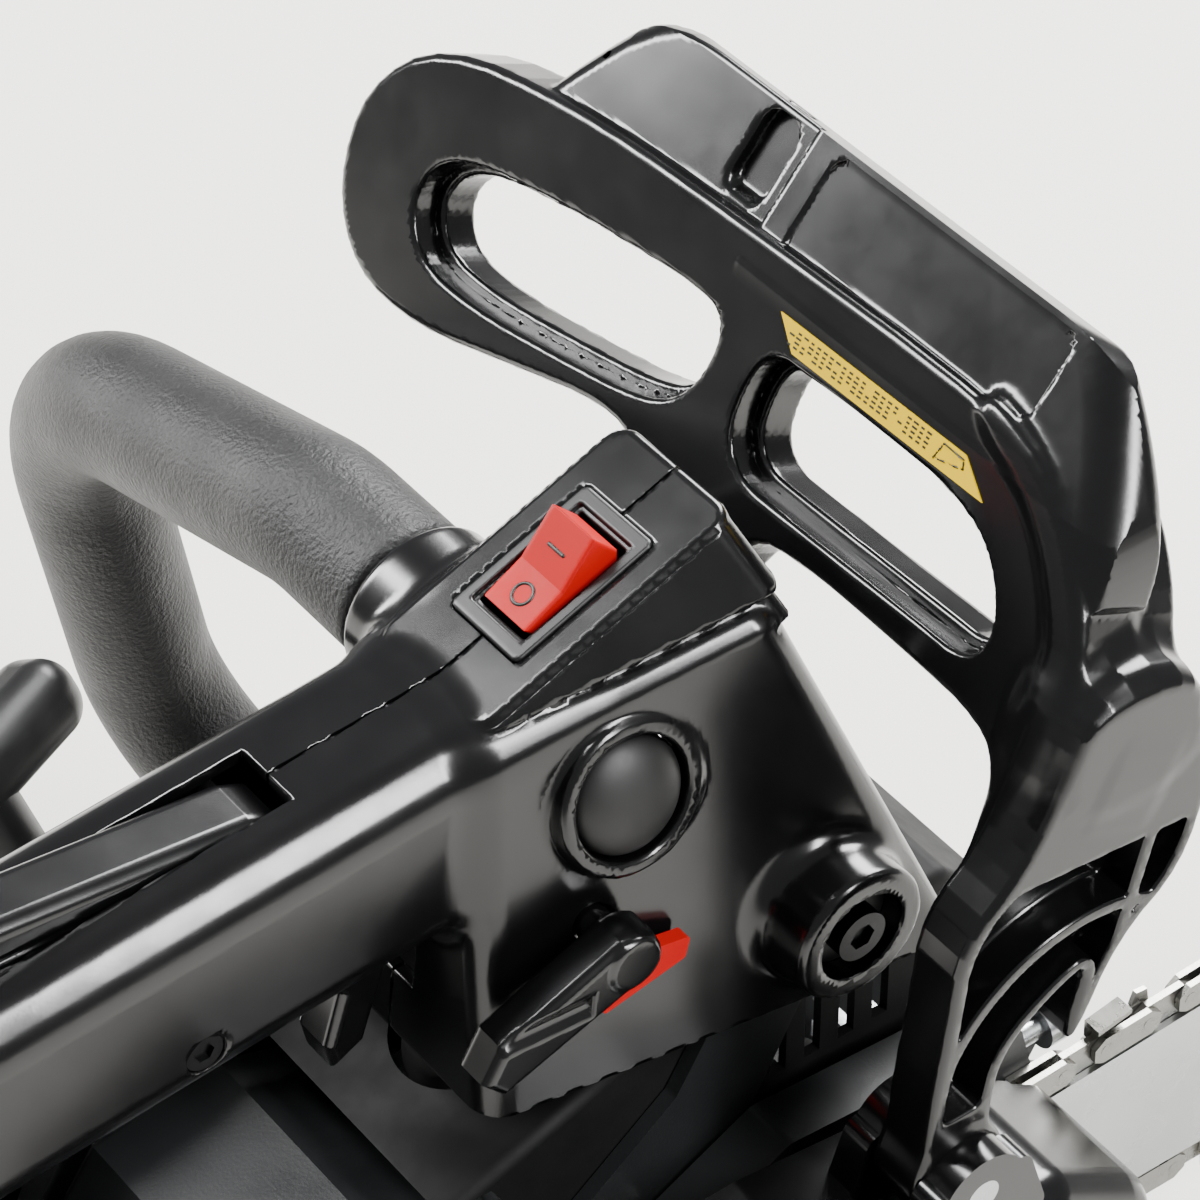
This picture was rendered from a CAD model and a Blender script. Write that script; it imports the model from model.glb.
"""Looks of a top-handle chain saw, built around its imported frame."""

import logging
import math
from dataclasses import dataclass
from typing import Callable, Dict, List, Optional, Sequence, Tuple

import bpy
import numpy as np
from mathutils import Matrix, Vector

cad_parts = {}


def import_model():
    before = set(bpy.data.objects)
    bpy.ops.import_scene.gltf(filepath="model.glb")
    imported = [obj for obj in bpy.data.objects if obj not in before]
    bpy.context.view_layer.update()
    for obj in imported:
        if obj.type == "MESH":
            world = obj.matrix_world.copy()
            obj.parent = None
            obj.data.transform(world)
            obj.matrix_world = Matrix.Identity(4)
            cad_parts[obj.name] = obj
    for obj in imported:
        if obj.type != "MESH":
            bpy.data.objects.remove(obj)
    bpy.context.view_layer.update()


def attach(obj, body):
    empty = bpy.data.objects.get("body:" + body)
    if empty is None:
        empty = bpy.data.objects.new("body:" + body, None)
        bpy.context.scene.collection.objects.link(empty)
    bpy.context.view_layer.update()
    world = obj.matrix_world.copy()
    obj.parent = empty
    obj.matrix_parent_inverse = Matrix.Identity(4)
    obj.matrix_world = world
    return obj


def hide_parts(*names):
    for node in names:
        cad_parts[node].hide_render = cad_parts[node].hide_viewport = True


log = logging.getLogger("saw")
MM = 0.001
Point = Tuple[float, float, float]
Array = np.ndarray
FieldFunction = Callable[[Array], Array]


# ---- colours and shader nodes -------------------------------------------------------------
def linear(hex_colour: str, alpha: float = 1.0) -> Tuple[float, float, float, float]:
    """Turn an sRGB hex colour to linear RGBA.

    Args:
        hex_colour: Six hex digits with a leading hash.
        alpha: Opacity.

    Returns:
        Linear red, green, blue and alpha.
    """
    parts = [int(hex_colour[i:i + 2], 16) / 255 for i in (1, 3, 5)]
    lit = [c / 12.92 if c <= 0.04045 else ((c + 0.055) / 1.055) ** 2.4 for c in parts]
    return (*lit, alpha)


def add_node(tree: bpy.types.NodeTree, kind: str, settings: Optional[dict] = None,
             **links: object) -> bpy.types.Node:
    """Add a node with its settings and inputs.

    Args:
        tree: The tree to add to.
        kind: The node's type name.
        settings: Attributes of the node.
        **links: Input name (underscores for spaces, or i0, i1 for a position) to a socket or a value.

    Returns:
        The new node.
    """
    node = tree.nodes.new(kind)
    for key, value in (settings or {}).items():
        setattr(node, key, value)
    for key, value in links.items():
        at_position = key[0] == "i" and key[1:].isdigit()
        socket = node.inputs[int(key[1:])] if at_position else node.inputs[key.replace("_", " ")]
        if isinstance(value, bpy.types.NodeSocket):
            tree.links.new(value, socket)
        else:
            socket.default_value = value
    return node


@dataclass(frozen=True)
class Finish:
    """A surface's finish: what it is made of and how light meets it.

    The fields hold the colour, the shader's constants, and the sizes in millimetres of its grain, of its
    broad waviness, and of the worn or dusty patches that vary its roughness.
    """

    name: str
    colour: str
    roughness: float
    metallic: float = 0.0
    ior: float = 1.5
    grain_mm: float = 0.6
    grain_depth: float = 0.02
    wave_mm: float = 18.0
    wave_depth: float = 0.0
    roughness_spread: float = 0.08
    colour_spread: float = 0.08
    patch_mm: float = 14.0
    coat: float = 0.0
    brush_axis: Optional[int] = None

    def build(self) -> bpy.types.Material:
        """Build the material, once per name."""
        found = bpy.data.materials.get(self.name)
        if found:
            return found
        material = bpy.data.materials.new(self.name)
        material.use_nodes = True
        tree = material.node_tree
        shader = tree.nodes["Principled BSDF"]
        where = add_node(tree, "ShaderNodeTexCoord").outputs["Object"]
        stretch = [1.0, 1.0, 1.0]
        if self.brush_axis is not None:
            stretch[self.brush_axis] = 0.04
        grain_at = add_node(tree, "ShaderNodeMapping", None, Vector=where, Scale=stretch).outputs[0]
        grain = add_node(tree, "ShaderNodeTexNoise", None, Vector=grain_at, Scale=1 / (self.grain_mm * MM),
                         Detail=3.0, Roughness=0.6)
        patch = add_node(tree, "ShaderNodeTexNoise", None, Vector=where, Scale=1 / (self.patch_mm * MM),
                         Detail=4.0, Roughness=0.62)
        low, high = self.roughness - self.roughness_spread, self.roughness + self.roughness_spread
        rough = add_node(tree, "ShaderNodeMapRange", None, Value=patch.outputs[0], i1=0.3, i2=0.7,
                         i3=max(low, 0.02), i4=min(high, 1.0))
        tree.links.new(rough.outputs[0], shader.inputs["Roughness"])
        base = linear(self.colour)
        ramp = add_node(tree, "ShaderNodeMix", {"data_type": "RGBA"}, Factor=patch.outputs[0])
        ramp.inputs[6].default_value = [c * (1 - self.colour_spread) for c in base[:3]] + [1]
        ramp.inputs[7].default_value = [min(1, c * (1 + self.colour_spread)) for c in base[:3]] + [1]
        tree.links.new(ramp.outputs[2], shader.inputs["Base Color"])
        wave = add_node(tree, "ShaderNodeTexNoise", None, Vector=where, Scale=1 / (self.wave_mm * MM),
                        Detail=1.0)
        broad = add_node(tree, "ShaderNodeBump", None, Height=wave.outputs[0], Strength=1.0,
                         Distance=self.wave_depth * MM)
        fine = add_node(tree, "ShaderNodeBump", None, Height=grain.outputs[0], Strength=1.0,
                        Distance=self.grain_depth * MM, Normal=broad.outputs[0])
        tree.links.new(fine.outputs[0], shader.inputs["Normal"])
        shader.inputs["Metallic"].default_value = self.metallic
        shader.inputs["IOR"].default_value = self.ior
        shader.inputs["Coat Weight"].default_value = self.coat
        return material


# Glass-filled nylon from a polished tool: near-black, with clear but slightly rippled reflections.
GLOSS_NYLON = Finish("moulded PA6 glass-filled nylon, polished", "#080809", 0.19, ior=1.53, grain_mm=0.35,
                     grain_depth=0.004, wave_mm=26.0, wave_depth=0.08, roughness_spread=0.025)
# The same nylon from a spark-eroded tool: black with a grey veil and a fine leathery grain.
SATIN_NYLON = Finish("moulded PA6 glass-filled nylon, satin", "#0f0f10", 0.36, ior=1.53, grain_mm=0.5,
                     grain_depth=0.02, wave_mm=30.0, wave_depth=0.1)
HOOD_NYLON = Finish("moulded PA6, heat-aged matt", "#080808", 0.7, ior=1.35, grain_mm=0.5, grain_depth=0.03)
SWITCH_NYLON = Finish("moulded PA66, fine matt", "#0d0d0e", 0.42, grain_mm=0.3, grain_depth=0.01)
# Foamed rubber sleeve: dark grey with a leathery grain that scatters light.
SLEEVE_FOAM = Finish("foamed NBR rubber sleeve", "#0b0b0c", 0.5, ior=1.45, grain_mm=0.9, grain_depth=0.4,
                     wave_mm=9.0, wave_depth=0.08, roughness_spread=0.06)
RUBBER = Finish("moulded NBR rubber", "#0e0e0e", 0.5, grain_mm=0.4, grain_depth=0.012)
RED_ABS = Finish("moulded ABS, red", "#a80505", 0.5, ior=1.25, grain_mm=0.5, grain_depth=0.006,
                 colour_spread=0.05)
GREY_NYLON = Finish("moulded PA6, grey", "#4a4a48", 0.42, grain_mm=0.5, grain_depth=0.012)
CAST_ALLOY = Finish("die-cast aluminium, shot-blasted", "#a6a8aa", 0.45, metallic=1.0, grain_mm=0.5,
                    grain_depth=0.05, wave_depth=0.05)
DARK_CAST = Finish("die-cast magnesium, painted black", "#1d1e1f", 0.38, grain_mm=0.6, grain_depth=0.03,
                   wave_depth=0.08)
TURNED_STEEL = Finish("turned carbon steel", "#b9bbbd", 0.26, metallic=1.0, grain_mm=0.25, grain_depth=0.01,
                      brush_axis=1)
BAR_STEEL = Finish("ground bar steel, lacquered", "#c9cbcc", 0.3, metallic=1.0, grain_mm=0.22,
                   grain_depth=0.008, brush_axis=0, patch_mm=25.0)
CHAIN_STEEL = Finish("hard-chromed chain steel, oiled", "#8e8d88", 0.3, metallic=1.0, grain_mm=0.4,
                     grain_depth=0.02, coat=0.3, patch_mm=5.0, colour_spread=0.2)
BLACK_OXIDE = Finish("black-oxide steel", "#2a2a2b", 0.36, metallic=1.0, grain_mm=0.4, grain_depth=0.01)
DRAWN_ALLOY = Finish("drawn aluminium tube", "#c0c2c4", 0.3, metallic=1.0, grain_mm=0.25, grain_depth=0.008)
HOT_STEEL = Finish("pressed steel, stove enamelled", "#222221", 0.6, grain_mm=0.35, grain_depth=0.03)
PAPER_FILTER = Finish("flocked filter felt", "#d9d4c4", 0.85, grain_mm=0.3, grain_depth=0.08)
LABEL_FILM = Finish("printed polyester label film", "#d9b400", 0.8, ior=1.2, grain_mm=0.8, grain_depth=0.002,
                    colour_spread=0.03)
LABEL_INK = Finish("black label ink", "#17160f", 0.45)
ROPE_NYLON = Finish("braided nylon rope", "#d8d6cc", 0.8, grain_mm=0.7, grain_depth=0.3)
CERAMIC = Finish("glazed spark plug ceramic", "#eeece6", 0.15)
BRASS = Finish("machined brass", "#b08d4a", 0.3, metallic=1.0)


# ---- solid forms and their skins ----------------------------------------------------------
def smooth_least(a: Array, b: Array, blend: float) -> Array:
    """The lesser of two distances, with the join blended."""
    if blend <= 0:
        return np.minimum(a, b)
    share = np.clip(0.5 + 0.5 * (b - a) / blend, 0, 1)
    return b + (a - b) * share - blend * share * (1 - share)


def rounded_greatest(a: Array, b: Array, radius: float) -> Array:
    """The greater of two distances, with the edge rounded to a radius."""
    if radius <= 0:
        return np.maximum(a, b)
    over_a, over_b = np.maximum(a + radius, 0), np.maximum(b + radius, 0)
    return np.minimum(np.maximum(a, b), -radius) + np.hypot(over_a, over_b)


def outline_distance(u: Array, v: Array, points: Sequence[Tuple[float, float]]) -> Array:
    """Signed distance in a plane from a closed outline, negative inside."""
    corners = np.asarray(points, float)
    best = np.full(u.shape, 1e18)
    inside = np.zeros(u.shape, bool)
    for (u0, v0), (u1, v1) in zip(corners, np.roll(corners, -1, axis=0)):
        du, dv = u1 - u0, v1 - v0
        share = np.clip(((u - u0) * du + (v - v0) * dv) / (du * du + dv * dv), 0, 1)
        best = np.minimum(best, (u - u0 - share * du) ** 2 + (v - v0 - share * dv) ** 2)
        if v0 != v1:
            crosses = (v0 > v) != (v1 > v)
            inside ^= crosses & (u < u0 + (v - v0) * du / dv)
    return np.where(inside, -1, 1) * np.sqrt(best)


class Form:
    """A solid as a function of distance from its skin, in millimetres, negative inside."""

    def __init__(self, distance: FieldFunction) -> None:
        """Keep the distance function."""
        self.distance = distance

    def join(self, other: "Form", blend: float = 0.0) -> "Form":
        """Add another form, with the join filled."""
        return Form(lambda p: smooth_least(self.distance(p), other.distance(p), blend))

    def cut(self, other: "Form", edge: float = 0.0) -> "Form":
        """Take another form away, with the edge rounded."""
        return Form(lambda p: rounded_greatest(self.distance(p), -other.distance(p), edge))

    def meet(self, other: "Form", edge: float = 0.0) -> "Form":
        """Keep what both forms hold, with the edge rounded."""
        return Form(lambda p: rounded_greatest(self.distance(p), other.distance(p), edge))

    def grown(self, by: float) -> "Form":
        """Grow, or shrink for a negative amount."""
        return Form(lambda p: self.distance(p) - by)

    def mirrored(self) -> "Form":
        """Both sides of the plane y = 0 take the form of the side where y is positive."""
        return Form(lambda p: self.distance(p * (1, 0, 0) + np.abs(p) * (0, 1, 0) + p * (0, 0, 1)))


def half_space(normal: Point, point: Point) -> Form:
    """Everything behind a plane."""
    n = np.asarray(normal, float) / np.linalg.norm(normal)
    offset = float(n @ np.asarray(point, float))
    return Form(lambda p: p @ n - offset)


def prism(points: Sequence[Tuple[float, float]], along: int, span: Tuple[float, float],
          edge: float = 0.0) -> Form:
    """An outline drawn out along X, Y or Z, with its end edges rounded.

    Args:
        points: The outline, in the other two coordinates in order.
        along: 0, 1 or 2.
        span: Where it starts and ends along that direction.
        edge: Radius of the end edges.

    Returns:
        The form.
    """
    others = [k for k in range(3) if k != along]
    middle, half = (span[0] + span[1]) / 2, (span[1] - span[0]) / 2
    return Form(lambda p: rounded_greatest(outline_distance(p[:, others[0]], p[:, others[1]], points),
                                           np.abs(p[:, along] - middle) - half, edge))


def block(low: Point, high: Point, edge: float = 0.0) -> Form:
    """A box with rounded edges."""
    middle, half = (np.asarray(low) + np.asarray(high)) / 2, (np.asarray(high) - np.asarray(low)) / 2

    def distance(p: Array) -> Array:
        q = np.abs(p - middle) - half + edge
        return np.linalg.norm(np.maximum(q, 0), axis=1) + np.minimum(q.max(axis=1), 0) - edge

    return Form(distance)


def rod(start: Point, end: Point, radius: float, edge: float = 0.0) -> Form:
    """A flat-ended rod."""
    a, b = np.asarray(start, float), np.asarray(end, float)
    length = float(np.linalg.norm(b - a))
    axis = (b - a) / length

    def distance(p: Array) -> Array:
        along = (p - a) @ axis
        across = np.linalg.norm(p - a - along[:, None] * axis, axis=1)
        return rounded_greatest(across - radius, np.abs(along - length / 2) - length / 2, edge)

    return Form(distance)


def ring(centre: Point, axis: Point, radius: float, thickness: float) -> Form:
    """A torus."""
    c, n = np.asarray(centre, float), np.asarray(axis, float) / np.linalg.norm(axis)

    def distance(p: Array) -> Array:
        along = (p - c) @ n
        across = np.linalg.norm(p - c - along[:, None] * n, axis=1)
        return np.hypot(across - radius, along) - thickness

    return Form(distance)


def run_distance(u: Array, v: Array, start: Tuple[float, float], end: Tuple[float, float]) -> Array:
    """Distance in a plane from a straight run."""
    du, dv = end[0] - start[0], end[1] - start[1]
    share = np.clip(((u - start[0]) * du + (v - start[1]) * dv) / (du * du + dv * dv), 0, 1)
    return np.hypot(u - start[0] - share * du, v - start[1] - share * dv)


class Skin:
    """Turns a form into a mesh whose vertices sit on its faces, edges and corners."""

    def __init__(self, form: Form, low: Point, high: Point, cell: float) -> None:
        """Keep the form, the box that holds it, and the size of a cell, in millimetres."""
        self.form = form
        self.low = np.asarray(low, float)
        self.high = np.asarray(high, float)
        self.cell = cell

    def near_cells(self) -> Array:
        """Find the cells that the skin may pass, by halving larger ones."""
        size = self.cell * 16
        count = np.ceil((self.high - self.low) / size).astype(int) + 1
        cells = np.stack(np.meshgrid(*[np.arange(n) for n in count], indexing="ij"), -1).reshape(-1, 3)
        while True:
            centre = self.low + (cells + 0.5) * size
            cells = cells[np.abs(self.form.distance(centre)) < size * 1.15]
            if size <= self.cell * 1.01:
                return cells
            offsets = np.stack(np.meshgrid((0, 1), (0, 1), (0, 1), indexing="ij"), -1).reshape(-1, 3)
            cells = (cells[:, None, :] * 2 + offsets).reshape(-1, 3)
            size /= 2

    def slope(self, points: Array) -> Array:
        """Outward unit normals of the form at some points."""
        reach = 0.04
        parts = []
        for axis in range(3):
            step = np.zeros(3)
            step[axis] = reach
            parts.append(self.form.distance(points + step) - self.form.distance(points - step))
        normal = np.stack(parts, -1)
        return normal / np.maximum(np.linalg.norm(normal, axis=1, keepdims=True), 1e-9)

    def build(self, name: str) -> bpy.types.Object:
        """Make the mesh object, in metres."""
        cells = self.near_cells()
        span = cells.max(axis=0) + 3
        weight = np.array([span[1] * span[2], span[2], 1])
        offsets = np.stack(np.meshgrid((0, 1), (0, 1), (0, 1), indexing="ij"), -1).reshape(-1, 3)
        corner_keys = np.unique(((cells[:, None, :] + offsets) @ weight).ravel())
        corners = np.stack([corner_keys // weight[0], corner_keys // weight[1] % span[1],
                            corner_keys % span[2]], -1)
        values = self.form.distance(self.low + corners * self.cell)
        cell_keys = np.sort(cells @ weight)
        points, normals, quads = [], [], []
        for axis in range(3):
            step = np.eye(3, dtype=int)[axis]
            there = np.searchsorted(corner_keys, corner_keys + weight[axis])
            there[there == len(corner_keys)] = 0
            edge = (corner_keys[there] == corner_keys + weight[axis]) & ((values < 0) != (values[there] < 0))
            first, second = np.flatnonzero(edge), there[edge]
            share = values[first] / (values[first] - values[second])
            start = self.low + corners[first] * self.cell
            crossing = start + share[:, None] * step * self.cell
            one, two = [k for k in range(3) if k != axis]
            around = np.stack([corner_keys[first] - a * weight[one] - b * weight[two]
                               for a, b in ((1, 1), (0, 1), (0, 0), (1, 0))], -1)
            at = np.searchsorted(cell_keys, around)
            at[at == len(cell_keys)] = 0
            whole = (cell_keys[at] == around).all(axis=1)
            outward = (values[first] < 0) == (axis != 1)
            at[~outward] = at[~outward][:, ::-1]
            points.append(crossing[whole])
            quads.append(at[whole])
        normals = [self.slope(p) for p in points]
        points, normals, quads = np.concatenate(points), np.concatenate(normals), np.concatenate(quads)
        used, faces = np.unique(quads, return_inverse=True)
        faces = faces.reshape(quads.shape)
        keys = cell_keys[used]
        middle = np.stack([keys // weight[0], keys // weight[1] % span[1], keys % span[2]], -1)
        middle = self.low + (middle + 0.5) * self.cell
        owner = faces.ravel()
        local = np.repeat(points, 4, axis=0) - middle[owner]
        slope = np.repeat(normals, 4, axis=0)
        total = len(used)
        count = np.bincount(owner, minlength=total)[:, None]
        mean = np.stack([np.bincount(owner, local[:, k], total) for k in range(3)], -1) / count
        reach = (slope * (local - mean[owner])).sum(axis=1)
        square = np.empty((total, 3, 3))
        pull = np.empty((total, 3))
        for i in range(3):
            pull[:, i] = np.bincount(owner, slope[:, i] * reach, total)
            for j in range(3):
                square[:, i, j] = np.bincount(owner, slope[:, i] * slope[:, j], total)
        square += np.eye(3) * 0.08
        shift = np.linalg.solve(square, pull[:, :, None])[:, :, 0]
        limit = self.cell * 0.9
        vertices = middle + np.clip(mean + shift, -limit, limit)
        return self.to_object(name, vertices, faces)

    def to_object(self, name: str, vertices: Array, faces: Array) -> bpy.types.Object:
        """Write the mesh, with normals taken from the form."""
        mesh = bpy.data.meshes.new(name)
        mesh.from_pydata((vertices * MM).tolist(), [], faces.tolist())
        mesh.update()
        mesh.shade_smooth()
        centres = vertices[faces].mean(axis=1)
        inset = vertices[faces] * 0.82 + centres[:, None, :] * 0.18
        normals = self.slope(inset.reshape(-1, 3))
        mesh.normals_split_custom_set(normals.tolist())
        piece = bpy.data.objects.new(name, mesh)
        bpy.context.scene.collection.objects.link(piece)
        log.info("%s: %d faces", name, len(faces))
        return piece


def settle(piece: bpy.types.Object, node: str, body: str, finish: Finish) -> bpy.types.Object:
    """Give a piece its finish and its body, and let it stand for a node.

    Args:
        piece: The object, in place.
        node: The node it takes the place of.
        body: The body it rides on.
        finish: Its finish.

    Returns:
        The piece.
    """
    piece.data.materials.append(finish.build())
    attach(piece, body)
    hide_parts(node)
    return piece


# ---- handle assembly ----------------------------------------------------------------------
@dataclass
class SlopedPlace:
    """A flat place on the machine: its origin, and its own X, Y and outward Z directions."""

    origin: Point
    x_axis: Point
    normal: Point

    def to_local(self, points: Array) -> Array:
        """Change points to this place's coordinates."""
        x, z = np.asarray(self.x_axis, float), np.asarray(self.normal, float)
        x, z = x / np.linalg.norm(x), z / np.linalg.norm(z)
        return (points - np.asarray(self.origin, float)) @ np.stack([x, np.cross(z, x), z]).T

    def place(self, form: Form) -> Form:
        """Put a form, drawn in this place's coordinates, in the machine's frame."""
        return Form(lambda p: form.distance(self.to_local(p)))

    def point(self, local: Point) -> Point:
        """A point of this place, in the machine's frame."""
        x, z = np.asarray(self.x_axis, float), np.asarray(self.normal, float)
        x, z = x / np.linalg.norm(x), z / np.linalg.norm(z)
        return tuple(np.asarray(self.origin) + local[0] * x + local[1] * np.cross(z, x) + local[2] * z)


SLOPE = math.radians(21.4)
LEAN = math.radians(14.0)
TURRET = SlopedPlace((40, 0, 196), (math.cos(SLOPE), 0, math.sin(SLOPE)),
                     (-math.sin(SLOPE), 0, math.cos(SLOPE)))
PRIMER = SlopedPlace((37, -22.6, 170), (1, 0, 0), (0, -math.cos(LEAN), math.sin(LEAN)))


def rounded_slab(half_u: float, half_v: float, corner: float, low: float, high: float, edge: float) -> Form:
    """A slab with rounded corners and rounded end edges, in a place's own coordinates."""
    middle, half = (low + high) / 2, (high - low) / 2

    def distance(p: Array) -> Array:
        over = np.abs(p[:, :2]) - (half_u - corner, half_v - corner)
        face = np.hypot(*np.maximum(over, 0).T) + np.minimum(over.max(axis=1), 0) - corner
        return rounded_greatest(face, np.abs(p[:, 2] - middle) - half, edge)

    return Form(distance)


@dataclass
class HandleShell:
    """The two moulded halves of the top handle, with their grip, front housing and switch turret."""

    wall: float = 2.5
    seam_gap: float = 0.3
    grip_half_width: float = 16.5
    grip_half_height: float = 19.0
    shoulder: float = 8.0
    bend: float = 24.0
    open_from: float = 124.0
    screws: Tuple[Tuple[float, float, float], ...] = ((-127, 108, 12.5), (-112, 152, 12.5), (-34, 155, 12.5))

    def grip_line(self) -> List[Tuple[float, float]]:
        """Centre line of the rear leg and the grip in XZ, with the bend drawn as short runs."""
        start, corner, end = np.array((-126, 78.0)), np.array((-127, 156.0)), np.array((34, 170.02))
        back, ahead = (start - corner) / 77.9, (end - corner) / np.linalg.norm(end - corner)
        half_turn = math.acos(float(back @ ahead)) / 2
        run = self.bend / math.tan(half_turn)
        toward = (back + ahead) / np.linalg.norm(back + ahead)
        centre = corner + toward * self.bend / math.sin(half_turn)
        first, last = corner + back * run - centre, corner + ahead * run - centre
        share = np.linspace(0, 1, 9)[:, None]
        arc = first * (1 - share) + last * share
        arc *= self.bend / np.linalg.norm(arc, axis=1, keepdims=True)
        return [tuple(start), *map(tuple, centre + arc), tuple(end)]

    def grip(self) -> Form:
        """Tall grip with flat flanks and a crowned top, running into its rear leg."""
        line = self.grip_line()

        def distance(p: Array) -> Array:
            runs = [run_distance(p[:, 0], p[:, 2], a, b) for a, b in zip(line, line[1:])]
            off = np.min(runs, axis=0)
            crown = off + (p[:, 1] / 16.5) ** 2 * 1.5
            u = np.abs(p[:, 1]) - self.grip_half_width + self.shoulder
            v = crown - self.grip_half_height + self.shoulder
            corner = np.hypot(np.maximum(u, 0), np.maximum(v, 0))
            return corner + np.minimum(np.maximum(u, v), 0) - self.shoulder

        return Form(distance).meet(half_space((0, 0, -1), (0, 0, 90.1)))

    def housing(self, grow: float = 0.0) -> Form:
        """Front housing: leaning side panels, closed by sloping front and rear faces."""
        side = np.cross((84, -12.5, 0), (6, 11, 70))
        side = side / np.linalg.norm(side) * (1 if side[1] < 0 else -1)
        flank = half_space((side[0], -side[1], side[2]), (8, 26, 120)).mirrored()
        rear = half_space((-70, 0, 6), (8, 0, 120))
        front = half_space((70, 0, 26), (92, 0, 120))
        top = half_space((-0.139, 0, 0.99), (23.3, 0, 185.6))
        body = flank.meet(front, 5).meet(rear, 5).meet(top, 3.2)
        return body.meet(half_space((0, 0, -1), (0, 0, 120))).grown(grow)

    def turret(self) -> Form:
        """Raised switch platform at the turret's slope, with a facet below each edge that ends in a lip."""
        platform = TURRET.place(rounded_slab(25, 13.5, 4.0, -24, 0, 1.2))

        def facets(p: Array) -> Array:
            """Distance to the facets under the platform, each ending in a lip."""
            local = TURRET.to_local(p)
            out = np.abs(local[:, 1]) - (13.4 - 0.57 * local[:, 2])
            ends = np.abs(local[:, 0] + 0.3) - 24.8 + local[:, 2] * 0.03
            lip_level = -1.6 - (local[:, 0] + 19.3) * 0.239
            side = rounded_greatest(out, ends, 4)
            body = rounded_greatest(side, lip_level - 1.0 - local[:, 2], 0.8)
            neck = np.maximum(side + 1.5, lip_level - 6 - local[:, 2])
            return np.maximum(np.minimum(body, neck), local[:, 2] + 0.9)

        return platform.join(Form(facets), 0.4)

    def body(self) -> Form:
        """Outside of both halves together."""
        shell = self.housing().join(self.grip(), 5).join(self.turret(), 0.6)
        cup = rod((68, 26, 136), (68, 41, 136), 12, 1.4)
        return shell.join(cup.mirrored(), 4)

    def inside(self) -> Form:
        """Room inside the shell, open underneath."""
        def below_floor(p: Array) -> Array:
            """The housing's walls carried on downward, so that no floor closes them."""
            return self.housing().distance(p * (1, 1, 0) + np.maximum(p, (0, 0, self.open_from)) * (0, 0, 1))

        return Form(below_floor).join(self.grip(), 5)

    def openings(self) -> Form:
        """Everything that is cut through the shell."""
        def seat(half_u: float, half_v: float, corner: float, low: float, high: float) -> Form:
            """A sharp-edged pocket in the turret."""
            return TURRET.place(rounded_slab(half_u, half_v, corner, low, high, 0))
        cuts = seat(13.6, 8.35, 1.2, -1.7, 8).join(seat(12, 7, 1, -30, 4))
        cuts = cuts.join(block((-24, -5.2, 132), (16, 5.2, 155)))
        cuts = cuts.join(block((-101, -6.4, 168), (-11, 6.4, 200)))
        for x, z, depth in self.screws:
            cuts = cuts.join(rod((x, -40, z), (x, -depth, z), 3.4))
            cuts = cuts.join(rod((x, -depth - 1, z), (x, 3, z), 1.8))
        cuts = cuts.join(rod((68, -60, 136), (68, 60, 136), 3))
        cuts = cuts.join(rod((68, 33, 136), (68, 60, 136), 8).mirrored())
        cuts = cuts.join(rod((29.5, -40, 149), (29.5, -15, 149), 3.5))
        return cuts.join(rod((33, 16, 176), (33, 60, 176), 10.05))

    def whole(self) -> Form:
        """The handle before it is parted into halves."""
        body, room = self.body(), self.inside()
        shell = Form(lambda p: np.maximum(body.distance(p), -(room.distance(p) + self.wall)))
        collar = rod((33, 12, 176), (33, 25.5, 176), 14.0, 1.6)
        shell = shell.join(collar, 3)
        for x, z, depth in self.screws:
            shell = shell.join(rod((x, -depth - 2, z), (x, 0, z), 4.5))
        primer_rim = PRIMER.place(rounded_slab(12.8, 12.8, 12.75, -4, 1.5, 1.0))
        shell = shell.join(primer_rim, 1.5)
        shell = shell.cut(self.openings(), 0.35)
        well = PRIMER.place(Form(lambda q: np.maximum(np.hypot(q[:, 0], q[:, 1]) - 10.2,
                                                      np.abs(q[:, 2]) - 7)))
        return shell.cut(well, 0.8)

    def build(self) -> None:
        """Build both halves."""
        whole = self.whole()
        gap = self.seam_gap / 2
        for node, sign in (("handle_right", -1), ("handle_left", 1)):
            half = whole.meet(half_space((0, -sign, 0), (0, sign * gap, 0)))
            low = (-148, -42 if sign < 0 else -1, 88)
            high = (96, 1 if sign < 0 else 42, 210)
            piece = Skin(half, low, high, 0.85).build(node + "_shell")
            settle(piece, node, "saw_body", GLOSS_NYLON)


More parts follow.
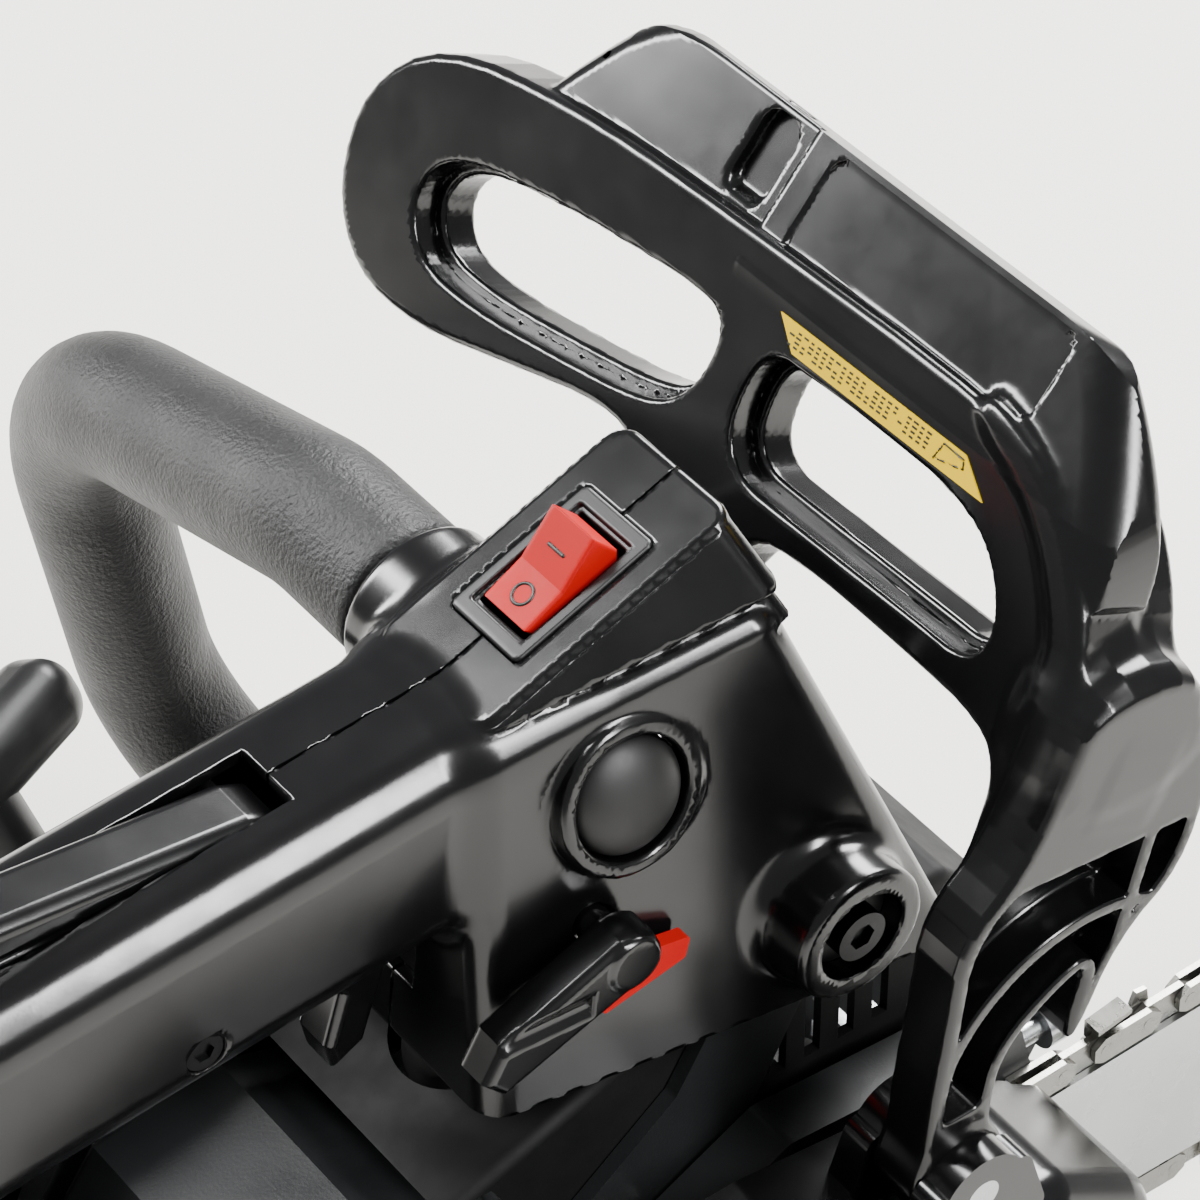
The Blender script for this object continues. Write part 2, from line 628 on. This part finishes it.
@dataclass
class SwitchGear:
    """Switch frame, rocker, primer bulb, choke lever and lockout."""

    cell: float = 0.5

    def rocker(self) -> Form:
        """Rocker: a long sloping face that rises to the front, with a short face behind it."""
        profile = [(-9.3, 0.4), (-1.5, 1.6), (6.6, 6.2), (9.0, 0.6), (6.5, -6), (-6.5, -6)]
        dished = Form(lambda q: np.hypot(q[:, 0] + 7.6, q[:, 2] - 16.2) - 14.9)
        return TURRET.place(prism(profile, 1, (-5.2, 5.2), 0.5).grown(0).cut(dished, 0.3))

    def bezel(self) -> Form:
        """Frame round the rocker with a chamfered rim and a raised inner lip."""
        rim = rounded_slab(13.5, 8.25, 1.2, -1.5, 0.5, 0.5)
        body = rounded_slab(11.8, 6.8, 0.6, -15, -1, 0.2)
        opening = rounded_slab(10.1, 5.6, 0.5, -10, 6, 0)
        chamfer = rounded_slab(10.9, 6.4, 0.8, -0.3, 6, 0)
        return TURRET.place(rim.join(body).cut(opening, 0.25).cut(chamfer, 0.3))

    def primer(self) -> Form:
        """Primer bulb: a domed button with a soft flat crown and a rolled foot."""
        def distance(p: Array) -> Array:
            q = PRIMER.to_local(p)
            r, h = np.hypot(q[:, 0], q[:, 1]), q[:, 2]
            dome = np.hypot(r, (h + 1.0) * 2.1) - 9.7
            foot = np.maximum(r - 9.8, np.abs(h + 4.0) - 2.2)
            return rounded_greatest(smooth_least(dome * 0.7, foot, 0.8), -(h + 5.8), 0.3)
        return Form(distance)

    def signs(self) -> Form:
        """The ring and the stroke printed on the rocker's two faces."""
        def distance(p: Array) -> Array:
            q = TURRET.to_local(p)
            ring_level = q[:, 2] - 0.9 - 0.15 * (q[:, 0] + 5.4)
            ring_sign = np.hypot(np.hypot(q[:, 0] + 5.4, q[:, 1]) - 1.75, ring_level) - 0.3
            stroke_reach = np.hypot(q[:, 0] - 2.3, np.maximum(np.abs(q[:, 1]) - 1.7, 0))
            stroke = np.hypot(stroke_reach, q[:, 2] - 3.62) - 0.36
            return np.minimum(ring_sign, stroke)
        return Form(distance)

    def lockout(self) -> Form:
        """Palm lever with a rounded back, a step along each side and a slim front."""
        x, z = -16, 178
        points = [(x + 3.5, z + 3), (x + 2, z - 3), (x - 70, z - 6), (x - 82, z - 5), (x - 84, z + 8),
                  (x - 78, z + 12), (x - 60, z + 11.5), (x - 1, z + 5)]
        upper = [(px, min(pz, z + 20)) for px, pz in points]
        blade = prism(upper, 1, (-5.8, 5.8), 2.6)
        groove = Form(lambda p: np.hypot(np.abs(p[:, 1]) - 6.1,
                                         p[:, 2] - (z + 1.2 - (p[:, 0] - x) * 0.055)) - 0.75)
        return blade.cut(groove, 0.3).cut(rod((x, -8, z), (x, 8, z), 1.55), 0.2)

    def choke(self) -> Form:
        """Choke lever: a flat paddle on a round hub, with a finger groove."""
        x, z = 29.5, 149
        reach = [(4, 3.5), (5, -2), (0, -5.5), (-24, -13.5), (-27.5, -9.5), (-24, -3.5), (-2, 5)]
        blade = prism([(x + u, z + v) for u, v in reach], 1, (-34.5, -27), 1.6)
        hub = rod((x, -34.9, z), (x, -27, z), 4.8, 1.0).join(rod((x, -34.8, z), (x, -33.6, z), 3.0, 0.4))
        groove = rod((x - 30, -35.6, z - 2), (x - 8, -35.6, z - 4), 2.2)
        return blade.join(hub, 0.8).cut(groove, 0.8).join(rod((x, -27.5, z), (x, -19, z), 3))

    def trigger(self) -> Form:
        """Finger trigger with a hooked, rounded front face."""
        x, z = 4, 155
        points = [(x + 4, z + 4), (x + 3, z - 12), (x - 3, z - 30), (x - 9, z - 33), (x - 10, z - 28),
                  (x - 7, z - 18), (x - 12, z - 9), (x - 24, z - 4), (x - 24, z + 2), (x - 4, z + 5)]
        return prism(points, 1, (-4.5, 4.5), 1.8).cut(rod((x, -6, z), (x, 6, z), 2.05), 0.2)

    def build(self) -> None:
        """Build each control and let it take the place of its node."""
        cell = self.cell
        pieces = (
            ("rocker_switch", "switch", self.rocker(), (28, -7, 184), (52, 7, 209), RED_ABS),
            ("switch_bezel", "saw_body", self.bezel(), (24, -10, 174), (56, 10, 206), SWITCH_NYLON),
            ("primer_bulb", "primer", self.primer(), (24, -36, 156), (50, -12, 184), RUBBER),
            ("throttle_lockout", "lockout", self.lockout(), (-102, -8, 168), (-10, 8, 193), GLOSS_NYLON),
            ("choke_lever", "choke", self.choke(), (-1, -37, 130), (40, -17, 158), GLOSS_NYLON),
            ("throttle_trigger", "trigger", self.trigger(), (-24, -7, 119), (12, 7, 163), GLOSS_NYLON),
        )
        for node, body, form, low, high, finish in pieces:
            settle(Skin(form, low, high, cell).build(node + "_skin"), node, body, finish)
        signs = Skin(self.signs(), (28, -4, 190), (50, 4, 208), 0.22).build("rocker_signs")
        signs.data.materials.append(LABEL_INK.build())
        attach(signs, "switch")


# ---- hand guard ---------------------------------------------------------------------------
GUARD_LEAN = math.radians(24.0)
GUARD = SlopedPlace((70, 0, 154), (0, -1, 0), (-math.cos(GUARD_LEAN), 0, math.sin(GUARD_LEAN)))


def guard_prism(points: Sequence[Tuple[float, float]], low: float, high: float, edge: float) -> Form:
    """A plate in the guard's plane, from (y, distance up the blade) points."""
    drawn = [(-y, v) for y, v in points]
    return GUARD.place(prism(drawn, 2, (low, high), edge))


def smoothed(points: Sequence[Tuple[float, float]], passes: int = 3) -> List[Tuple[float, float]]:
    """Round a closed outline by cutting its corners again and again."""
    line = np.asarray(points, float)
    for _ in range(passes):
        ahead = np.roll(line, -1, axis=0)
        line = np.stack([line * 0.75 + ahead * 0.25, line * 0.25 + ahead * 0.75], 1).reshape(-1, 2)
    return [tuple(point) for point in line]


@dataclass
class HandGuard:
    """Hand guard: a deep windowed blade under a leaning top rail, turned forward at its side, on one leg.

    The outlines are in the blade's plane, as (y, distance up the blade), and the arm's is in XZ.
    """

    depth: float = 12.0
    wall: float = 2.8
    cell: float = 0.8
    blade: Tuple = ((-61, 10), (-62.5, 40), (-58, 53), (-47, 64.5), (-34, 70), (40, 68), (72, 66), (104, 60),
                    (118, 45), (117, 27), (106, 16), (88, 15.5), (64, 22), (43, 27.5), (33, 25.5), (29, 13),
                    (11, 13), (5, 26.5), (-6, 28.5), (-24, 28.5), (-46, 28), (-54, 24), (-57, 10))
    right_window: Tuple = ((15.5, 54), (17.5, 40), (12, 33), (0, 33.2), (-30, 34), (-43, 34.2), (-45, 42),
                           (-38, 51.5), (-27, 54.8), (-12, 55), (4, 54.6))
    left_window: Tuple = ((25.5, 53.5), (25, 44), (29, 36.5), (37, 32.5), (56, 29), (78, 25.5), (93, 26),
                          (99, 36), (92, 46), (66, 50.8), (48, 53), (34, 54.4))
    arm: Tuple = ((58, 100), (59.5, 124), (62, 142), (63.5, 158), (75, 168), (82, 182), (86, 192), (107, 190),
                  (109, 177), (112, 166), (108, 149), (96, 140.5), (89, 124), (86, 124), (90, 139), (84, 137),
                  (75, 131), (72, 122), (72, 100))

    def windows(self, inset: float, low: float, high: float) -> Form:
        """Both windows, drawn in by an inset."""
        forms = [prism([(-y, v) for y, v in smoothed(outline)], 2, (low, high)).grown(-inset)
                 for outline in (self.right_window, self.left_window)]
        return GUARD.place(forms[0].join(forms[1]))

    def frame(self) -> Form:
        """Blade with its deep window frames and a stepped inner wall."""
        outline = smoothed(self.blade, 2)
        plate = guard_prism(outline, -self.depth, 0, 1.6)
        drawn = Form(lambda q: outline_distance(q[:, 0], q[:, 1], [(-y, v) for y, v in outline]) + self.wall)
        frames = [Form(lambda q, w=w: self.wall - outline_distance(q[:, 0], q[:, 1], [(-y, v) for y, v in w]))
                  for w in (smoothed(self.right_window), smoothed(self.left_window))]
        inside = drawn.meet(frames[0], 1.0).meet(frames[1], 1.0).meet(half_space((0, 0, 1), (0, 0, -3.4)))
        return plate.cut(GUARD.place(inside), 0.5)

    def rail(self) -> Form:
        """Leaning top rail with a shallow panel on its upper face and a step at its left end."""
        section = [(92.5, 201), (95.6, 211.2), (111, 229), (115.5, 225.5), (104, 196)]
        across = prism(section, 1, (-60, 86), 2.0)
        ends = prism(smoothed([(-62, 190), (-60.5, 205), (-52, 218), (-38, 231), (-20, 236), (60, 236),
                               (86, 206),
                               (84, 190)], 3), 0, (80, 125))

        def above(p: Array) -> Array:
            """Signed distance from a plane that slopes in XZ."""
            return (p[:, 2] - 211) * 0.65 - (p[:, 0] - 96) * 0.76

        def patch(y: float, half_y: float, z: float, half_z: float, deep: float) -> Form:
            return Form(lambda p: rounded_greatest(rounded_greatest(np.abs(p[:, 1] - y) - half_y,
                                                                    np.abs(p[:, 2] - z) - half_z, 2.5),
                                                   -above(p) - deep, 0.2))

        rail = across.meet(ends, 5).cut(patch(60, 32.5, 222, 30, 1.2), 0.8)
        return rail.cut(patch(-6, 27.5, 221.2, 6.4, 0.3), 0.6).cut(patch(35, 4.2, 221, 5.5, 3.6), 0.8)

    def flank(self) -> Form:
        """Outer side face, which runs forward from the blade's edge, with its steps."""
        outer = smoothed([(-61, 12), (-62.5, 40), (-58, 53), (-47, 65), (-34, 70), (-26, 71), (-28, 66),
                          (-42, 61),
                          (-53, 49), (-57, 38), (-56, 12)], 2)
        flange = guard_prism(outer, -22, 0, 1.8)
        boss = guard_prism(smoothed([(-66, 18), (-66, 36), (-60, 45), (-55, 36), (-55, 18)], 2), -22, -9, 1.6)
        return flange.join(boss, 2.5)

    def leg(self) -> Form:
        """Arm from the blade down to the pivot: a web with a rim, two pockets and ribs between."""
        outline = smoothed(self.arm, 2)
        body = prism(outline, 1, (-68.1, -57.9), 1.4)
        pocket = Form(lambda p: np.maximum(outline_distance(p[:, 0], p[:, 2], outline) + 2.6, p[:, 1] + 61.2))
        pocket = pocket.meet(half_space((0.11, 0, 1), (90, 0, 161.5)), 1.5)
        pocket = pocket.meet(half_space((0, 0, -1), (0, 0, 121)), 1.5)
        arch = Form(lambda p: np.abs(np.hypot(p[:, 0] - 88, p[:, 2] - 122) - 27.5) - 1.2)
        brace = Form(lambda p: np.abs((p[:, 0] - 95.5) * 0.97 - (p[:, 2] - 141) * 0.24) - 1.2)
        pocket = pocket.cut(arch, 0.8).cut(brace, 0.8)
        hub = rod((66, -68.1, 108), (66, -57.9, 108), 9, 1.2)
        shoulder = prism(smoothed([(80, 171), (86, 194), (107, 192), (110, 170)], 2), 1, (-66, -54), 2.0)
        return body.cut(pocket, 0.6).join(hub, 2).join(shoulder, 4)

    def build(self) -> None:
        """Build the guard and its label."""
        form = self.frame().join(self.rail(), 0.5).join(self.flank(), 2.5).join(self.leg(), 4)
        form = form.cut(self.windows(2.0, -30, 9), 0.8).cut(self.windows(0.0, -5.0, 9), 0.9)
        form = form.cut(rod((66, -72, 108), (66, -50, 108), 3.05), 0.3)
        cell = self.cell
        piece = Skin(form, (54, -71, 96), (124, 120, 232), cell).build("hand_guard_skin")
        settle(piece, "hand_guard", "guard", GLOSS_NYLON)


# ---- repeated details ---------------------------------------------------------------------
@dataclass
class MarkRows:
    """Rows of short printed strokes, spread by a node tree over a flat place."""

    name: str
    rows: int
    columns: int
    pitch: Tuple[float, float]
    stroke: Tuple[float, float]
    seed: int = 7

    def tree(self) -> bpy.types.NodeTree:
        """Node tree: a grid of points, thinned at random, each with a stroke of its own length."""
        tree = bpy.data.node_groups.new(self.name, "GeometryNodeTree")
        face = tree.interface
        face.new_socket("Geometry", in_out="INPUT", socket_type="NodeSocketGeometry")
        face.new_socket("Row Pitch", in_out="INPUT", socket_type="NodeSocketFloat")
        face.new_socket("Column Pitch", in_out="INPUT", socket_type="NodeSocketFloat")
        face.new_socket("Ink", in_out="INPUT", socket_type="NodeSocketMaterial")
        face.new_socket("Geometry", in_out="OUTPUT", socket_type="NodeSocketGeometry")
        given = add_node(tree, "NodeGroupInput").outputs
        width = add_node(tree, "ShaderNodeMath", {"operation": "MULTIPLY"}, i0=given["Column Pitch"],
                         i1=float(self.columns - 1)).outputs[0]
        height = add_node(tree, "ShaderNodeMath", {"operation": "MULTIPLY"}, i0=given["Row Pitch"],
                          i1=float(self.rows - 1)).outputs[0]
        grid = add_node(tree, "GeometryNodeMeshGrid", None, Size_X=width, Size_Y=height,
                        Vertices_X=self.columns, Vertices_Y=self.rows).outputs[0]
        keep = add_node(tree, "FunctionNodeRandomValue", {"data_type": "BOOLEAN"}, Probability=0.86,
                        Seed=self.seed).outputs[3]
        length = add_node(tree, "FunctionNodeRandomValue", {"data_type": "FLOAT"}, i2=0.55, i3=1.0,
                          Seed=self.seed + 1).outputs[1]
        scale = add_node(tree, "ShaderNodeCombineXYZ", None, X=length, Y=1.0, Z=1.0).outputs[0]
        size = [self.stroke[0] * MM, self.stroke[1] * MM, 0.03 * MM]
        stroke = add_node(tree, "GeometryNodeMeshCube", None, Size=size).outputs[0]
        spread = add_node(tree, "GeometryNodeInstanceOnPoints", None, Points=grid, Selection=keep,
                          Instance=stroke, Scale=scale).outputs[0]
        real = add_node(tree, "GeometryNodeRealizeInstances", None, Geometry=spread).outputs[0]
        done = add_node(tree, "GeometryNodeSetMaterial", None, Geometry=real,
                        Material=given["Ink"]).outputs[0]
        add_node(tree, "NodeGroupOutput", None, i0=done)
        return tree

    def build(self, place: SlopedPlace, centre: Point, skew: float, finish: Finish) -> bpy.types.Object:
        """Make the strokes as a plain mesh, laid on a place and sheared along it."""
        holder = bpy.data.objects.new(self.name + "_maker", bpy.data.meshes.new(self.name))
        bpy.context.scene.collection.objects.link(holder)
        modifier = holder.modifiers.new("rows", "NODES")
        modifier.node_group = self.tree()
        values = {"Row Pitch": self.pitch[1] * MM, "Column Pitch": self.pitch[0] * MM, "Ink": finish.build()}
        for item in modifier.node_group.interface.items_tree:
            if item.in_out == "INPUT" and item.name in values:
                modifier[item.identifier] = values[item.name]
        graph = bpy.context.evaluated_depsgraph_get()
        mesh = bpy.data.meshes.new_from_object(holder.evaluated_get(graph))
        bpy.data.objects.remove(holder)
        local = np.empty(len(mesh.vertices) * 3)
        mesh.vertices.foreach_get("co", local)
        local = local.reshape(-1, 3) / MM
        local[:, 1] += skew * local[:, 0]
        world = np.array([place.point(tuple(point + np.asarray(centre))) for point in local]) * MM
        mesh.vertices.foreach_set("co", world.ravel())
        mesh.update()
        piece = bpy.data.objects.new(self.name, mesh)
        bpy.context.scene.collection.objects.link(piece)
        return piece


def add_marks() -> None:
    """Printed marks: strokes on the guard's label, and the two signs on the rocker."""
    strokes = MarkRows("label_strokes", 4, 22, (1.5, 0.8), (1.1, 0.34))
    rows = strokes.build(GUARD, (4.5, 58.6, 0.29), 0.02, LABEL_INK)
    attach(rows, "guard")
    frame = Skin(Form(lambda p: np.maximum(np.abs(outline_distance(
        GUARD.to_local(p)[:, 0], GUARD.to_local(p)[:, 1],
        [(22.5, 57.4), (28.5, 58.8), (28.0, 60.2), (23.5, 60.3)]))
        - 0.14, np.abs(GUARD.to_local(p)[:, 2] - 0.27) - 0.12)), (90, -32, 203), (98, -19, 212), 0.25)
    sign = frame.build("label_sign")
    sign.data.materials.append(LABEL_INK.build())
    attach(sign, "guard")


# ---- front handle -------------------------------------------------------------------------
@dataclass
class FrontHandle:
    """Bent tube with its soft grained sleeve."""

    path: Tuple[Point, ...] = ((33, 18, 176), (33, 50, 176), (35, 135, 149), (52, 140, 60), (72, 94, 13),
                               (72, 54, 13))
    bends: Tuple[float, ...] = (30, 44, 36, 18)

    def line(self) -> Array:
        """Centre line, with each bend drawn as short runs."""
        nodes = [np.asarray(p, float) for p in self.path]
        line = [nodes[0]]
        for before, corner, after, radius in zip(nodes, nodes[1:], nodes[2:], self.bends):
            back, ahead = before - corner, after - corner
            back, ahead = back / np.linalg.norm(back), ahead / np.linalg.norm(ahead)
            half = math.acos(float(np.clip(back @ ahead, -1, 1))) / 2
            run = radius / math.tan(half)
            centre = corner + (back + ahead) / np.linalg.norm(back + ahead) * radius / math.sin(half)
            first, last = corner + back * run - centre, corner + ahead * run - centre
            for share in np.linspace(0, 1, 13):
                spoke = first * (1 - share) + last * share
                line.append(centre + spoke / np.linalg.norm(spoke) * radius)
        line.append(nodes[-1])
        return np.array(line)

    def sleeve(self, name: str, start: float, stop: float, radius: float) -> bpy.types.Object:
        """Sweep a round skin along part of the centre line, with rolled ends."""
        line = self.line()
        lengths = np.concatenate([[0], np.cumsum(np.linalg.norm(np.diff(line, axis=0), axis=1))])
        stations = np.linspace(start, lengths[-1] - stop, 260)
        at = np.stack([np.interp(stations, lengths, line[:, k]) for k in range(3)], -1)
        ahead = np.gradient(at, axis=0)
        ahead /= np.linalg.norm(ahead, axis=1, keepdims=True)
        count = 64
        turn = np.linspace(0, 2 * math.pi, count, endpoint=False)
        side = np.cross(ahead, (0.0, 0.0, 1.0))
        side /= np.maximum(np.linalg.norm(side, axis=1, keepdims=True), 1e-6)
        other = np.cross(side, ahead)
        depth = np.minimum(stations - stations[0], stations[-1] - stations)
        size = radius - 1.6 * (1 - np.sqrt(np.clip(1 - (1 - np.minimum(depth / 2.2, 1)) ** 2, 0, 1)))
        ringed = at[:, None] + size[:, None, None] * (np.cos(turn)[None, :, None] * side[:, None]
                                                      + np.sin(turn)[None, :, None] * other[:, None])
        points = ringed.reshape(-1, 3)
        rows = len(stations)
        faces = [[i * count + j, i * count + (j + 1) % count, (i + 1) * count + (j + 1) % count,
                  (i + 1) * count + j] for i in range(rows - 1) for j in range(count)]
        faces += [list(range(count))[::-1], list(range((rows - 1) * count, rows * count))]
        mesh = bpy.data.meshes.new(name)
        mesh.from_pydata((points * MM).tolist(), [], faces)
        mesh.shade_smooth()
        piece = bpy.data.objects.new(name, mesh)
        bpy.context.scene.collection.objects.link(piece)
        return piece

    def build(self) -> None:
        """Build the sleeve's skin."""
        piece = self.sleeve("front_handle_sleeve", 8.0, 9.0, 12.5)
        settle(piece, "front_handle_grip", "saw_body", SLEEVE_FOAM)


# ---- dressing of the other nodes ----------------------------------------------------------
NODE_FINISHES: Dict[str, Finish] = {
    "crankcase_right": DARK_CAST, "crankcase_left": DARK_CAST, "main_bearings": TURNED_STEEL,
    "crankshaft": TURNED_STEEL, "connecting_rod": TURNED_STEEL, "rod_pins": TURNED_STEEL,
    "piston": CAST_ALLOY,
    "cylinder": CAST_ALLOY, "spark_plug": CERAMIC, "spark_plug_boot": RUBBER, "ignition_coil": SWITCH_NYLON,
    "flywheel": CAST_ALLOY, "clutch_shoes": TURNED_STEEL, "clutch_drum": TURNED_STEEL, "oil_pump": GREY_NYLON,
    "brake_band": BAR_STEEL, "muffler": HOT_STEEL, "heat_shield": CAST_ALLOY, "intake_manifold": RUBBER,
    "carburettor": CAST_ALLOY, "throttle_shaft": BRASS, "choke_shaft": BRASS, "air_filter": PAPER_FILTER,
    "cylinder_cover": HOOD_NYLON, "starter_housing": GLOSS_NYLON, "clutch_cover": GLOSS_NYLON,
    "fuel_tank": SATIN_NYLON, "oil_tank": DARK_CAST, "fuel_cap": SATIN_NYLON, "oil_cap": SATIN_NYLON,
    "chain_drive_links": CHAIN_STEEL, "chain_side_links": CHAIN_STEEL, "guide_bar": BAR_STEEL,
    "studs": TURNED_STEEL, "bar_nuts": TURNED_STEEL, "bumper_spikes": BLACK_OXIDE, "cap_screws": BLACK_OXIDE,
    "chain_catcher": CAST_ALLOY, "tension_screw": TURNED_STEEL, "starter_pulley": GREY_NYLON,
    "recoil_spring": TURNED_STEEL, "starter_rope": ROPE_NYLON, "starter_grip": SATIN_NYLON,
    "choke_link": RED_ABS, "pivot_pins": TURNED_STEEL, "front_handle": DRAWN_ALLOY, "tube_clamp": SATIN_NYLON,
    "av_bushes": RUBBER, "rear_springs": TURNED_STEEL, "guard_label": LABEL_FILM,
}


def dress_nodes() -> None:
    """Give every node that keeps its own mesh its finish."""
    for node, finish in NODE_FINISHES.items():
        piece = bpy.data.objects[node]
        piece.data.materials.clear()
        piece.data.materials.append(finish.build())


# ---- studio -------------------------------------------------------------------------------
@dataclass
class Studio:
    """Pale floor, soft lights and the camera."""

    aim: Point = (45.64, -4.25, 190.87)
    back: Point = (-0.447, -0.593, 0.669)
    distance: float = 700.0
    focal: float = 142.8

    def floor(self) -> None:
        """A plain pale floor under the bumper and tank."""
        bpy.ops.mesh.primitive_plane_add(size=6.0, location=(0, 0, 0))
        plane = bpy.context.object
        plane.name = "studio_floor"
        plane.data.materials.append(Finish("matt studio floor", "#dcdad5", 0.7, grain_depth=0, wave_depth=0,
                                           colour_spread=0.0, patch_mm=400.0).build())

    def light(self, name: str, place: Point, aim: Point, size: Tuple[float, float], power: float,
              colour: str = "#ffffff") -> None:
        """Add a soft rectangular light that faces a point, both in millimetres."""
        data = bpy.data.lights.new(name, "AREA")
        data.shape = "RECTANGLE"
        data.size, data.size_y = size[0] * MM, size[1] * MM
        data.energy = power
        data.color = linear(colour)[:3]
        lamp = bpy.data.objects.new(name, data)
        lamp.location = Vector(place) * MM
        lamp.rotation_euler = (Vector(place) - Vector(aim)).to_track_quat("Z", "Y").to_euler()
        bpy.context.scene.collection.objects.link(lamp)

    def build(self) -> None:
        """Set the floor, the lights, the surroundings and the camera."""
        self.floor()
        self.light("key_softbox", (350, -1000, 1100), (50, 0, 180), (220, 1000), 36.0)
        self.light("rear_strip", (-500, 900, 900), (50, 0, 180), (260, 1300), 48.0)
        self.light("top_softbox", (1000, 500, 1000), (80, 0, 180), (700, 700), 60.0)
        world = bpy.data.worlds.new("studio_surroundings")
        world.use_nodes = True
        world.node_tree.nodes["Background"].inputs[0].default_value = linear("#f2f3f5")
        world.node_tree.nodes["Background"].inputs[1].default_value = 0.34
        bpy.context.scene.world = world
        data = bpy.data.cameras.new("studio_camera")
        data.sensor_width = 36.0
        data.lens = self.focal
        data.clip_start = 0.01
        camera = bpy.data.objects.new("studio_camera", data)
        back = Vector(self.back).normalized()
        camera.location = (Vector(self.aim) + back * self.distance) * MM
        right = Vector((0.799, -0.602, 0)).normalized()
        up = back.cross(right)
        turn = Matrix((right, up, back)).transposed().to_4x4()
        camera.matrix_world = Matrix.Translation(camera.location) @ turn
        bpy.context.scene.collection.objects.link(camera)
        bpy.context.scene.camera = camera


def main() -> None:
    """Build the whole machine's looks."""
    logging.basicConfig(level=logging.INFO)
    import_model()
    dress_nodes()
    HandleShell().build()
    SwitchGear().build()
    HandGuard().build()
    add_marks()
    FrontHandle().build()
    Studio().build()


if __name__ == "__main__":
    main()
